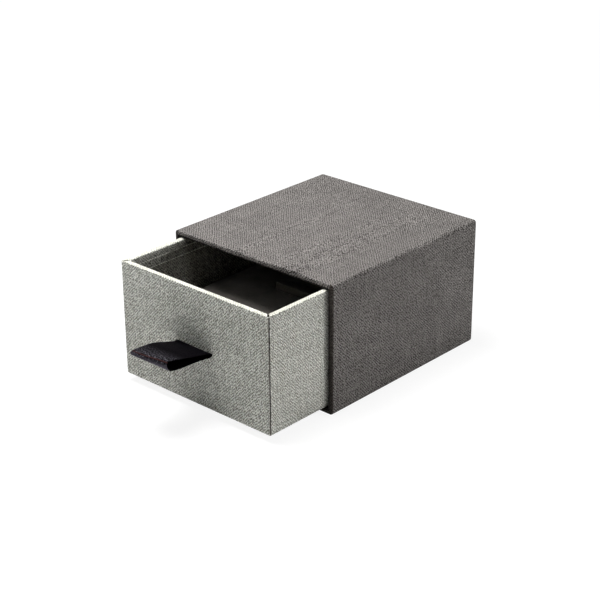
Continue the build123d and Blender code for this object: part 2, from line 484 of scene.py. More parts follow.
class Finish:
    """What every finish shares: a named material with its own nodes.

    Args:
        name: The material's name.
    """

    name: str

    def build(self) -> bpy.types.Material:
        """Make the material.

        Returns:
            The new material.
        """
        material = bpy.data.materials.new(self.name)
        material.use_nodes = True
        tree = material.node_tree
        tree.nodes.clear()
        add = partial(add_node, tree)
        add("ShaderNodeOutputMaterial", links={"Surface": self.surface(add)})
        return material

    def surface(self, add: AddNode) -> Node:
        """Add the finish's nodes.

        Args:
            add: Adds a node to the material.

        Returns:
            Its shader.
        """
        raise NotImplementedError


@dataclass(frozen=True)
class LinenPaper(Finish):
    """Dyed paper with a linen weave embossed in it: a matt grid of thread crossings.

    Args:
        name: The material's name.
        ground: Colour of the valleys between threads, darker partly as painted shade.
        thread: Colour of the raised threads, lighter partly as painted highlight.
        mottle: How much the colour wanders over the sheet.
        relief: Depth of the embossing, in mm.
        thread_pitch: From one thread to the next, in mm.
        twill: How much the diagonal shows beside the crossings.
        slub_length: How many times longer than wide a slub is.
    """

    name: str
    ground: str
    thread: str
    mottle: float
    relief: float = 0.12
    thread_pitch: float = 0.5
    twill: float = 0.15
    slub_length: float = 30.0

    def weave(self, add: AddNode, place: Node) -> bpy.types.NodeSocket:
        """Add the thread crossings along the two directions that lie in a face.

        Args:
            add: Adds a node to the material.
            place: The node that gives the place on the piece.

        Returns:
            The output that gives the weave's height.
        """
        here = place.outputs["Object"]
        # threads wander a little, as woven ones do
        wander = add(
            "ShaderNodeTexNoise",
            {"Scale": 1 / (7 * MM), "Detail": 5.0, "Roughness": 0.55},
            {"Vector": here},
        )
        drift = add(
            "ShaderNodeVectorMath",
            {"operation": "MULTIPLY_ADD", 1: (1.5 * MM,) * 3},
            {0: wander.outputs["Color"], 2: here},
        )
        phase = add(
            "ShaderNodeVectorMath",
            {"operation": "SCALE", "Scale": math.pi / (self.thread_pitch * MM)},
            {0: drift},
        )
        x, y, z = add("ShaderNodeSeparateXYZ", links={0: phase}).outputs
        warp = add("ShaderNodeCombineXYZ", links={0: y, 1: x, 2: x})
        weft = add("ShaderNodeCombineXYZ", links={0: z, 1: z, 2: y})
        over = add("ShaderNodeVectorMath", {"operation": "SINE"}, {0: warp})
        under = add("ShaderNodeVectorMath", {"operation": "SINE"}, {0: weft})
        crossings = add("ShaderNodeVectorMath", {"operation": "MULTIPLY"}, {0: over, 1: under})
        # a diagonal leads through the crossings
        lag = add("ShaderNodeVectorMath", {"operation": "SUBTRACT"}, {0: warp, 1: weft})
        diagonal = add("ShaderNodeVectorMath", {"operation": "COSINE"}, {0: lag})
        woven = add(
            "ShaderNodeVectorMath",
            {"operation": "MULTIPLY_ADD", 1: (self.twill,) * 3},
            {0: diagonal, 2: crossings},
        )
        facing = add(
            "ShaderNodeVectorMath", {"operation": "ABSOLUTE"}, {0: place.outputs["Normal"]}
        )
        weave = add("ShaderNodeVectorMath", {"operation": "DOT_PRODUCT"}, {0: woven, 1: facing})
        return weave.outputs["Value"]

    def height(self, add: AddNode, place: Node) -> Node:
        """Add the embossing's unevenness to its weave.

        Args:
            add: Adds a node to the material.
            place: The node that gives the place on the piece.

        Returns:
            The node that gives the embossing's height.
        """
        here = place.outputs["Object"]
        # knots: here and there a crossing stands higher and catches the light, and its colour takes
        # a painted highlight
        speckle = add(
            "ShaderNodeTexNoise",
            {"Scale": 1 / (0.7 * self.thread_pitch * MM), "Detail": 2.0},
            {"Vector": here},
        )
        knots = add(
            "ShaderNodeMapRange",
            {"From Min": 0.3, "From Max": 0.7, "To Min": -1.9, "To Max": 2.5},
            {"Value": speckle},
        )
        # slubs: single threads that are thicker or lighter for part of their length
        streaks = []
        for axis in Axis:
            stretch = Vector((1.0, 1.0, 1.0)) + axis.direction * (self.slub_length - 1)
            along = add("ShaderNodeVectorMath", {"operation": "DIVIDE", 1: stretch}, {0: here})
            size = {"Scale": 1 / (self.thread_pitch * MM), "Detail": 1.0, "Roughness": 0.4}
            streaks.append(add("ShaderNodeTexNoise", size, {"Vector": along}))
        slubs = streaks[0]
        for streak in streaks[1:]:
            slubs = add("ShaderNodeMath", {"operation": "ADD"}, {0: slubs, 1: streak})
        crossed = {0: self.weave(add, place), 2: knots}
        uneven = add("ShaderNodeMath", {"operation": "MULTIPLY_ADD", 1: 1.25}, crossed)
        both = {0: slubs, 2: uneven}
        return add("ShaderNodeMath", {"operation": "MULTIPLY_ADD", 1: 1.4}, both)

    def surface(self, add: AddNode) -> Node:
        """Add the nodes: valleys keep the ground colour, raised threads take the lighter one, so
        the weave's shade and highlights are partly painted into the colour.

        Args:
            add: Adds a node to the material.

        Returns:
            Its shader.
        """
        place = add("ShaderNodeTexCoord")
        here = place.outputs["Object"]
        height = self.height(add, place)
        # the height also sets the colour: painted shade in the valleys, painted highlight on raised
        # threads and knots
        raised = add("ShaderNodeMapRange", {"From Min": 1.3, "From Max": 3.5}, {"Value": height})
        dyed = add(
            "ShaderNodeMix",
            {"data_type": "RGBA", 6: colour(self.ground), 7: colour(self.thread)},
            {0: raised},
        )
        cloud = add(
            "ShaderNodeTexNoise",
            {"Scale": 1 / (9 * MM), "Detail": 4.0, "Roughness": 0.6},
            {"Vector": here},
        )
        shade = add(
            "ShaderNodeMapRange",
            {
                "From Min": 0.3,
                "From Max": 0.7,
                "To Min": 1 - self.mottle,
                "To Max": 1 + self.mottle,
            },
            {"Value": cloud},
        )
        worn = add(
            "ShaderNodeVectorMath",
            {"operation": "SCALE"},
            {0: dyed.outputs[2], "Scale": shade.outputs[0]},
        )
        embossed = add(
            "ShaderNodeBump", {"Distance": self.relief * MM, "Strength": 1.0}, {"Height": height}
        )
        return add(
            "ShaderNodeBsdfPrincipled",
            {"Roughness": 0.7, "Specular IOR Level": 0.05},
            {"Base Color": worn, "Normal": embossed},
        )


@dataclass(frozen=True)
class PlainPaper(Finish):
    """Smooth uncoated paper, board or cut foam: matt, with faint cloudy fibres or cells.

    Args:
        name: The material's name.
        base: Its colour.
        flecks: Colour of its darker or lighter fibres.
        grain: Size of the fibre clouds, in mm.
        relief: Depth of the surface, in mm.
    """

    name: str
    base: str
    flecks: str
    grain: float = 0.8
    relief: float = 0.02

    def surface(self, add: AddNode) -> Node:
        """Add the nodes: one pattern of clouds gives both the colour and the relief.

        Args:
            add: Adds a node to the material.

        Returns:
            Its shader.
        """
        here = add("ShaderNodeTexCoord").outputs["Object"]
        fibres = add(
            "ShaderNodeTexNoise",
            {"Scale": 1 / (self.grain * MM), "Detail": 5.0, "Roughness": 0.7},
            {"Vector": here},
        )
        mixed = add(
            "ShaderNodeMix",
            {"data_type": "RGBA", 6: colour(self.base), 7: colour(self.flecks)},
            {0: fibres},
        )
        uneven = add(
            "ShaderNodeBump", {"Distance": self.relief * MM, "Strength": 1.0}, {"Height": fibres}
        )
        return add(
            "ShaderNodeBsdfPrincipled",
            {"Roughness": 0.8, "Specular IOR Level": 0.05},
            {"Base Color": mixed.outputs[2], "Normal": uneven},
        )


@dataclass(frozen=True)
class PileFabric(Finish):
    """Short-pile microfibre over foam: dull head on and lighter where the pile is seen side on.

    Args:
        name: The material's name.
        base: Colour of the pile.
        brushed: Colour where the pile lies over.
        nap: Size of the brushed patches, in mm.
        pile: Size of one tuft as it is drawn, in mm, coarser than the real fibre so that it shows.
    """

    name: str
    base: str
    brushed: str
    nap: float = 6.0
    pile: float = 0.35

    def surface(self, add: AddNode) -> Node:
        """Add the nodes: tufts that lie over in patches, under a soft sheen.

        Args:
            add: Adds a node to the material.

        Returns:
            Its shader.
        """
        here = add("ShaderNodeTexCoord").outputs["Object"]
        patches = add(
            "ShaderNodeTexNoise",
            {"Scale": 1 / (self.nap * MM), "Detail": 3.0, "Distortion": 0.4},
            {"Vector": here},
        )
        tufts = add(
            "ShaderNodeTexNoise", {"Scale": 1 / (self.pile * MM), "Detail": 3.0}, {"Vector": here}
        )
        lie = add("ShaderNodeMath", {"operation": "MULTIPLY"}, {0: patches, 1: tufts})
        spread = add("ShaderNodeMapRange", {"From Min": 0.12, "From Max": 0.42}, {"Value": lie})
        mixed = add(
            "ShaderNodeMix",
            {"data_type": "RGBA", 6: colour(self.base), 7: colour(self.brushed)},
            {0: spread},
        )
        uneven = add("ShaderNodeBump", {"Distance": 0.1 * MM, "Strength": 0.8}, {"Height": tufts})
        return add(
            "ShaderNodeBsdfPrincipled",
            {
                "Roughness": 0.95,
                "Specular IOR Level": 0.1,
                "Sheen Weight": 0.3,
                "Sheen Roughness": 0.5,
            },
            {"Base Color": mixed.outputs[2], "Normal": uneven},
        )


@dataclass(frozen=True)
class SatinRibbon(Finish):
    """Woven polyester satin: black with a soft gloss, fine ribs across it, painted glints, and a
    painted reflection of the bright floor on its fold.

    Args:
        name: The material's name.
        base: Colour of the ribbon.
        sheen: Colour of the glints painted on the raised threads that catch the light.
        painted_reflection: Colour painted on the strap's face where it is bent round the fold, as
            the bright floor's reflection.
        line: Colour of the thin line of worn threads beside the crease.
        rib_pitch: From one weft rib to the next, in mm, coarser than the real one so that it shows.
        crease_at: Where the crease is along the strap, in mm.
    """

    name: str
    base: str
    sheen: str
    painted_reflection: str
    line: str
    rib_pitch: float = 0.45
    crease_at: float = 33.0

    def surface(self, add: AddNode) -> Node:
        """Add the nodes, which follow the strap's length in the UV map, in mm.

        Args:
            add: Adds a node to the material.

        Returns:
            Its shader.
        """
        strap = add("ShaderNodeUVMap", {"uv_map": "strap"})
        ribs = add(
            "ShaderNodeTexWave",
            {
                "bands_direction": "Y",
                "Scale": math.tau / (20 * self.rib_pitch),
                "Distortion": 1.2,
                "Detail": 2.0,
                "Detail Scale": 1.0,
            },
            {"Vector": strap},
        )
        glints = add(
            "ShaderNodeTexNoise", {"Scale": 1 / self.rib_pitch, "Detail": 2.0}, {"Vector": strap}
        )
        sparse = add("ShaderNodeMapRange", {"From Min": 0.48, "From Max": 0.68}, {"Value": glints})
        woven = add(
            "ShaderNodeMath", {"operation": "MULTIPLY"}, {0: ribs.outputs["Fac"], 1: sparse}
        )
        # the painted glints on the raised threads are strongest towards the fold
        along = add("ShaderNodeSeparateXYZ", links={0: strap})
        past_crease = add(
            "ShaderNodeMath", {"operation": "SUBTRACT", 1: self.crease_at}, {0: along.outputs[1]}
        )
        distance = add("ShaderNodeMath", {"operation": "ABSOLUTE"}, {0: past_crease})
        glints_near_fold = add(
            "ShaderNodeMapRange",
            {"From Min": 0.0, "From Max": 6.0, "To Min": 1.0, "To Max": 0.015},
            {"Value": distance},
        )
        shining = add("ShaderNodeMath", {"operation": "MULTIPLY"}, {0: woven, 1: glints_near_fold})
        # the painted reflection of the bright floor lies on the face where it goes round the fold,
        # from 3.6 mm before the crease
        round_fold = add(
            "ShaderNodeMapRange",
            {"From Min": -3.2, "From Max": -1.2, "To Min": 1.0, "To Max": 0.0},
            {"Value": past_crease},
        )
        before = add("ShaderNodeMath", {"operation": "GREATER_THAN", 1: -3.6}, {0: past_crease})
        bent = add("ShaderNodeMath", {"operation": "MULTIPLY"}, {0: round_fold, 1: before})
        # the worn line is 0.44 mm wide, 0.75 mm before the crease
        beside = add(
            "ShaderNodeMath", {"operation": "COMPARE", 1: -0.75, 2: 0.22}, {0: past_crease}
        )
        painted = add(
            "ShaderNodeMix",
            {"data_type": "RGBA", 6: colour(self.base), 7: colour(self.sheen)},
            {0: shining},
        )
        for share, shade in ((bent, self.painted_reflection), (beside, self.line)):
            painted = add(
                "ShaderNodeMix",
                {"data_type": "RGBA", 7: colour(shade)},
                {0: share, 6: painted.outputs[2]},
            )
        ribbed = add("ShaderNodeBump", {"Distance": 0.05 * MM, "Strength": 1.0}, {"Height": woven})
        return add(
            "ShaderNodeBsdfPrincipled",
            {"Roughness": 0.55, "Specular IOR Level": 0.01},
            {"Base Color": painted.outputs[2], "Normal": ribbed},
        )


class Finishes:
    """The box's finishes, each built once and given out by the record's slot.

    Four have no slot there: the dark line of dried glue and board in the tray cover's
    hairlines, darkened further as painted shade; a whiter copy of the pale linen on its rim, as a
    painted highlight; a darker copy turned in below that, as painted shade; and the sleeve's linen
    where it is pressed flat beside the mouth and darker as painted shade.
    """

    def __init__(self) -> None:
        """Build every finish."""
        finishes: dict[str, Finish] = {
            "dark_linen_paper": LinenPaper("dark_linen_paper", "#292624", "#928e8b", 0.08, 0.08),
            "pale_linen_paper": LinenPaper("pale_linen_paper", "#8c8c80", "#fffff8", 0.04),
            # pressed flat beside the sleeve's mouth, and darker as painted shade
            "pressed_shaded_dark_linen": LinenPaper(
                "pressed_dark_linen_paper", "#24211f", "#4a4541", 0.1, 0.05
            ),
            # a whiter copy of the pale linen for the tray's rim, as a painted highlight
            "rim_highlight_pale_linen": LinenPaper(
                "worn_pale_linen_paper", "#b2b2a7", "#ececdf", 0.06, 0.07
            ),
            # a darker copy of the pale linen for the inside of the tray, as painted shade
            "painted_shade_pale_linen": LinenPaper("shaded_linen_paper", "#4c4c47", "#b9b9b1", 0.1),
            "lining_paper": PlainPaper("black_lining_paper", "#0f0e0d", "#1d1b1a"),
            "grey_board": PlainPaper("grey_board", "#a39e96", "#7d7871", grain=1.5),
            # dried glue in the hairlines, darkened as painted shade in them
            "hairline": PlainPaper("dried_glue", "#100d0b", "#1f1a17"),
            "pad_card": PlainPaper("white_lined_card", "#b7b2a8", "#a19b90"),
            "pad_foam": PlainPaper("cut_foam", "#4b4845", "#3c3936", grain=0.5, relief=0.1),
            "pad_pile": PileFabric("brushed_microfibre", "#68645f", "#8e8982"),
            "satin_ribbon": SatinRibbon(
                "black_polyester_satin",
                base="#050406",
                # painted glints on the raised threads
                sheen="#6f6d75",
                # painted reflection of the bright floor on the fold's face
                painted_reflection="#5c5962",
                line="#2f1e1e",
            ),
        }
        self.by_slot = {slot: finish.build() for slot, finish in finishes.items()}

    def dress(self, piece: Piece, *slots: str) -> None:
        """Give a new piece or a CAD node its finishes.

        Args:
            piece: The object to dress.
            slots: The names of the finishes' slots, by the number that its faces have.
        """
        numbers = [face.material_index for face in piece.data.polygons]
        piece.data.materials.clear()
        for slot in slots:
            piece.data.materials.append(self.by_slot[slot])
        for face, number in zip(piece.data.polygons, numbers):
            face.material_index = min(number, len(slots) - 1)

    def dress_frame(self) -> None:
        """Give every CAD node the finish that the record names for it."""
        for part in frame["record"]["subparts"]:
            self.dress(frame["nodes"][part["node"]], part["material_slot"])


# ---------------- sleeve


class SleevePaper(IntEnum):
    """Numbers of the finishes on the sleeve's cover."""

    COVER = 0
    # the black lining and the darker pressed linen paint the shade in and beside the mouth
    LINING = 1
    PRESSED = 2


@dataclass
class Sleeve:
    """The dark sleeve: its cover is folded over the wall boards, into the mouth and over the back.

    Args:
        outer: The box that the cover fills.
        bare: The room between the wall boards, from where the cover ends inside the mouth.
        base_sheet: The sheet underneath.
        back_sheet: The sheet on the back.
        fold_radius: Radius of the long edges.
        hem_radius: Radius of the paper where it turns over the boards' ends.
        lining_from_edge: How far in from the mouth's outer edge the black lining starts, a dark
            sheet that paints the shade in the mouth.
        pressed_beside_mouth: How far back from the mouth the sides' embossing is pressed flat and
            painted darker as shade.
        lumps: Where glued paper stands proud along the mouth's top, and by how much, in mm.
        lump_reach: How far a lump spreads to each side, in mm.
        bulge_size: Size of the small bulges all round the mouth.
        bulge_rise: How far they stand proud.
        forward: How far lumps and bulges stand forward, as a share of their height.
        facet: Longest length of a face where the cover is bent.
    """

    outer: Span = span_of("sleeve_wrap")
    bare: Span = span_of("sleeve_lining")
    base_sheet: Span = span_of("sleeve_base_sheet")
    back_sheet: Span = span_of("sleeve_back_sheet")
    fold_radius: float = 0.9 * MM
    hem_radius: float = 0.45 * MM
    lining_from_edge: float = 1.2 * MM
    pressed_beside_mouth: float = 0.6 * MM
    lumps: Points = ((9.0, 0.3), (13.6, 0.6), (18.0, 0.7), (-6.0, 0.25))
    lump_reach: float = 1.3
    bulge_size: float = 2.2 * MM
    bulge_rise: float = 0.08 * MM
    forward: float = 0.4
    facet: float = 1.0 * MM

    @property
    def paper(self) -> float:
        """Thickness of the cover."""
        return self.base_sheet.size.z

    @property
    def mouth(self) -> Span:
        """The opening that the turned-in cover leaves."""
        inset = Vector((self.paper, 0, self.paper))
        return Span(self.bare.low + inset, self.bare.high - inset)

    def lump(self, place: Vector) -> Vector:
        """Lift the paper a little where glue and fibres bulk it along the mouth.

        Args:
            place: A point of the cover.

        Returns:
            Its new place.
        """
        if place.y > self.outer.low.y + 2 * self.hem_radius:
            return place
        bulge = noise.noise(Vector((place.x, 0.0, place.z)) / self.bulge_size)
        rise = max(0.0, bulge) * self.bulge_rise
        if place.z > self.outer.middle.z:
            for at, height in self.lumps:
                away = (place.x / MM - at) / self.lump_reach
                rise += height * MM * math.exp(-(away**2))
        place.y -= self.forward * rise
        if place.z > self.outer.high.z - 2 * self.hem_radius:
            place.z += rise
        return place

    def model_cover(self) -> Piece:
        """Fold the cover from one block.

        Returns:
            The cover.
        """
        cover = add_block("sleeve_cover", self.outer)
        low, high = self.outer.low, self.outer.high
        with Bench(cover) as bench:
            bench.remove(lambda face: abs(face.normal.y) > FACING)
            bench.soften(edges_along(Axis.DEEP), self.fold_radius, steps=5)
            bench.turn_over(Axis.DEEP, low.y, self.mouth, self.bare.low.y - low.y)
            bench.turn_over(Axis.DEEP, high.y, self.back_sheet)
            for end in (low.y, high.y):
                bench.soften(edges_at(Axis.DEEP, end), self.hem_radius, steps=3)
            self.finish_mouth(bench)
            bench.divide(Axis.ACROSS, self.facet)
            bench.divide(Axis.UP, self.facet)
            bench.move_points(self.lump)
            self.open_underside(bench)
        finish_piece(cover, thickness=self.paper)
        return cover

    def inset(self, face: Face) -> float:
        """Return how far inside the sleeve's four long faces a face's middle is."""
        place, low, high = face.calc_center_median(), self.outer.low, self.outer.high
        return min(min(place[i] - low[i], high[i] - place[i]) for i in (0, 2))

    def finish_mouth(self, bench: Bench) -> None:
        """Turn the black lining over the mouth's edge as painted shade, and press the cover smooth
        beside it, darker as painted shade.

        Args:
            bench: The cover's bench.
        """
        low, high, reach = self.outer.low, self.outer.high, self.lining_from_edge
        across, deep, up = (axis.direction for axis in Axis)

        def side(face: Face) -> bool:
            """Say whether a face is on an outer side."""
            return abs(face.normal.x) > FACING and self.inset(face) < TOUCHING

        def shaded_by_lining(face: Face) -> bool:
            """Say whether the black lining shows on a face, as painted shade."""
            return self.inset(face) > reach and face.calc_center_median().y < self.bare.low.y

        def pressed(face: Face) -> bool:
            """Say whether the cover is pressed smooth on a face, and darker as painted shade."""
            place = face.calc_center_median()
            on_wall = abs(place.x) > high.x - reach or place.z < low.z + reach
            return on_wall and place.y < low.y + self.pressed_beside_mouth and not shaded_by_lining(face)

        for corner, step in ((low, reach), (high, -reach)):
            for way in (across, up):
                bench.cut(faces_at(Axis.DEEP, low.y), corner + way * step, way)
        bench.cut(side, low + deep * self.pressed_beside_mouth, deep)
        # painted shade at the mouth: black lining on its inner part, darker pressed linen beside it
        bench.give_finish(SleevePaper.LINING, shaded_by_lining)
        bench.give_finish(SleevePaper.PRESSED, pressed)

    def open_underside(self, bench: Bench) -> None:
        """Cut out the cover where the sheet underneath lies.

        Args:
            bench: The cover's bench.
        """
        sheet = self.base_sheet

        def under(face: Face) -> bool:
            """Say whether a face is underneath."""
            return face.normal.z < -FACING and face.calc_center_median().z < sheet.size.z / 2

        bench.remove(bench.outline(under, sheet, Axis.ACROSS, Axis.DEEP))

    def build(self, finishes: Finishes) -> Piece:
        """Model and dress the sleeve's cover.

        Args:
            finishes: The box's finishes.

        Returns:
            The cover.
        """
        cover = self.model_cover()
        finishes.dress(cover, "dark_linen_paper", "lining_paper", "pressed_shaded_dark_linen")
        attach(cover, "sleeve")
        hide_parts("sleeve_wrap")
        return cover


# ---------------- tray


class TrayPaper(IntEnum):
    """Numbers of the finishes on the tray's cover."""

    COVER = 0
    # dried glue and painted shade in the hairlines
    HAIRLINE = 1
    # whiter linen on the rim: painted highlight
    RIM = 2
    # darker linen turned in inside: painted shade
    INSIDE = 3


@dataclass
class Tray:
    """The pale tray: its cover comes up the walls, over the rim and down inside.

    Args:
        outer: The box that the cover fills.
        floor_board: The base board, which gives the room between the walls.
        paper: Thickness of the cover.
        edge_radius: Radius of the paper at every fold.
        turn_in: How far the cover runs down inside.
        seam_from_edge: From each upright corner to the middle of the hairline beside it.
        seam_width: Width of the upright hairline seams.
        seam_depth: Their depth.
        mitre_width: Width of the hairlines at the rim's corners.
        mitre_depth: Their depth.
        mitre_room: How far a mitre may run, as a share of the wall's thickness.
        crease_levels: How far below the rim the turned-in paper is creased on the left wall.
        crease_width: Width of a crease.
        crease_rise: How far a crease stands out.
        slit_width: Width of the ribbon's slit.
        slit_height: Its height.
        slit_level: How high its middle is.
    """

    outer: Span = span_of("drawer_wrap")
    floor_board: Span = span_of("drawer_base_board")
    paper: float = 0.15 * MM
    edge_radius: float = 0.3 * MM
    turn_in: float = 18.4 * MM
    seam_from_edge: float = 0.32 * MM
    seam_width: float = 0.55 * MM
    seam_depth: float = 0.135 * MM
    mitre_width: float = 0.6 * MM
    mitre_depth: float = 0.12 * MM
    mitre_room: float = 1.5
    crease_levels: tuple[float, ...] = (2.4 * MM, 5.0 * MM)
    crease_width: float = 0.3 * MM
    crease_rise: float = 0.1 * MM
    slit_width: float = 15.3 * MM
    slit_height: float = 0.9 * MM
    slit_level: float = 20.7 * MM

    @property
    def opening(self) -> Span:
        """The opening inside the rim."""
        inset = Vector((self.paper, self.paper, 0))
        return Span(self.floor_board.low + inset, self.floor_board.high - inset)

    def model_cover(self) -> Piece:
        """Fold the cover from one block.

        Returns:
            The cover.
        """
        cover = add_block("tray_cover", self.outer)
        top = self.outer.high.z
        with Bench(cover) as bench:
            bench.remove(lambda face: face.normal.z > FACING)
            bench.soften(lambda edge: True, self.edge_radius, steps=3)
            bench.turn_over(Axis.UP, top, self.opening, -self.turn_in)
            bench.soften(edges_at(Axis.UP, top), self.edge_radius, steps=3)
            # the rim takes the whiter linen, a painted highlight along its top
            bench.give_finish(TrayPaper.RIM, self.on_rim)
            # the turned-in paper takes the darker linen, painted shade inside the tray
            bench.give_finish(TrayPaper.INSIDE, self.turned_in)
            self.open_seams(bench)
            self.open_mitres(bench)
            self.crease_turn_in(bench)
            self.open_slit(bench)
        finish_piece(cover, thickness=self.paper)
        return cover

    def on_rim(self, face: Face) -> bool:
        """Say whether a face is on top of the walls."""
        high_up = face.calc_center_median().z > self.outer.high.z - self.edge_radius
        return high_up and face.normal.z > FACING

    def turned_in(self, face: Face) -> bool:
        """Say whether a face is on the paper that is turned down inside the walls.

        Args:
            face: A face of the cover.

        Returns:
            Whether it is.
        """
        place, low, high = face.calc_center_median(), self.opening.low, self.opening.high
        within = all(low[i] - TOUCHING < place[i] < high[i] + TOUCHING for i in (0, 1))
        below_rim = self.outer.high.z - place.z
        return within and self.edge_radius < below_rim < self.turn_in

    def open_seams(self, bench: Bench) -> None:
        """Sink the hairlines where the front and back papers end on the side walls.

        Args:
            bench: The cover's bench.
        """
        deep = Axis.DEEP.direction

        def side(face: Face) -> bool:
            """Say whether a face is on a side wall or the rounding beside it."""
            outside = abs(face.calc_center_median().x) > self.outer.high.x - 0.5 * self.edge_radius
            return outside and abs(face.normal.x) > LEANING

        for corner, step in ((self.outer.low, deep), (self.outer.high, -deep)):
            middle = corner + step * self.seam_from_edge
            # the groove's faces take the dark glue colour, which also paints the shade in the
            # hairline
            bench.groove(side, middle, deep, self.seam_width, self.seam_depth, TrayPaper.HAIRLINE)

    def open_mitres(self, bench: Bench) -> None:
        """Sink the short hairlines where the turned-over papers meet at the rim's corners.

        Args:
            bench: The cover's bench.
        """
        low, high = self.outer.low, self.outer.high
        reach = self.mitre_room * (self.opening.low.y - low.y)
        step = Vector((reach, reach, 0))
        for place in (low + step, high - step):
            bench.cut(self.on_rim, place, Axis.ACROSS.direction, Axis.DEEP.direction)
        for x, across in ((low.x, -1), (high.x, 1)):
            for y, deep in ((low.y, -1), (high.y, 1)):
                corner = Vector((x, y, high.z))

                def near_corner(face: Face, corner: Vector = corner) -> bool:
                    """Say whether a face is on the rim at this corner."""
                    away = face.calc_center_median() - corner
                    return self.on_rim(face) and max(abs(away.x), abs(away.y)) < reach

                # the mitre's faces also take the dark glue colour with painted shade
                bench.groove(
                    near_corner,
                    corner,
                    Vector((deep, -across, 0)),
                    self.mitre_width,
                    self.mitre_depth,
                    TrayPaper.HAIRLINE,
                )

    def crease_turn_in(self, bench: Bench) -> None:
        """Raise the straight creases in the paper that is turned down over the left wall.

        Args:
            bench: The cover's bench.
        """
        left_wall = faces_at(Axis.ACROSS, self.opening.low.x)
        up, width, rise = Axis.UP.direction, self.crease_width, self.crease_rise
        for level in self.crease_levels:
            middle = self.outer.high - up * level
            # the creases keep the unshaded pale linen, so they show as painted highlight lines
            # against the painted shade around them
            bench.groove(left_wall, middle, up, width, -rise, TrayPaper.COVER)

    def open_slit(self, bench: Bench) -> None:
        """Cut the ribbon's slit through the front of the cover.

        Args:
            bench: The cover's bench.
        """
        half = Vector((self.slit_width / 2, 0, self.slit_height / 2))
        middle = Vector((0, 0, self.slit_level))
        slit, front = Span(middle - half, middle + half), faces_at(Axis.DEEP, self.outer.low.y)
        bench.remove(bench.outline(front, slit, Axis.ACROSS, Axis.UP))

    def build(self, finishes: Finishes) -> Piece:
        """Model and dress the tray's cover.

        Args:
            finishes: The box's finishes.

        Returns:
            The cover.
        """
        cover = self.model_cover()
        finishes.dress(
            cover, "pale_linen_paper", "hairline", "rim_highlight_pale_linen", "painted_shade_pale_linen"
        )
        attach(cover, "drawer")
        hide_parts("drawer_wrap")
        return cover


# ---------------- ring pad


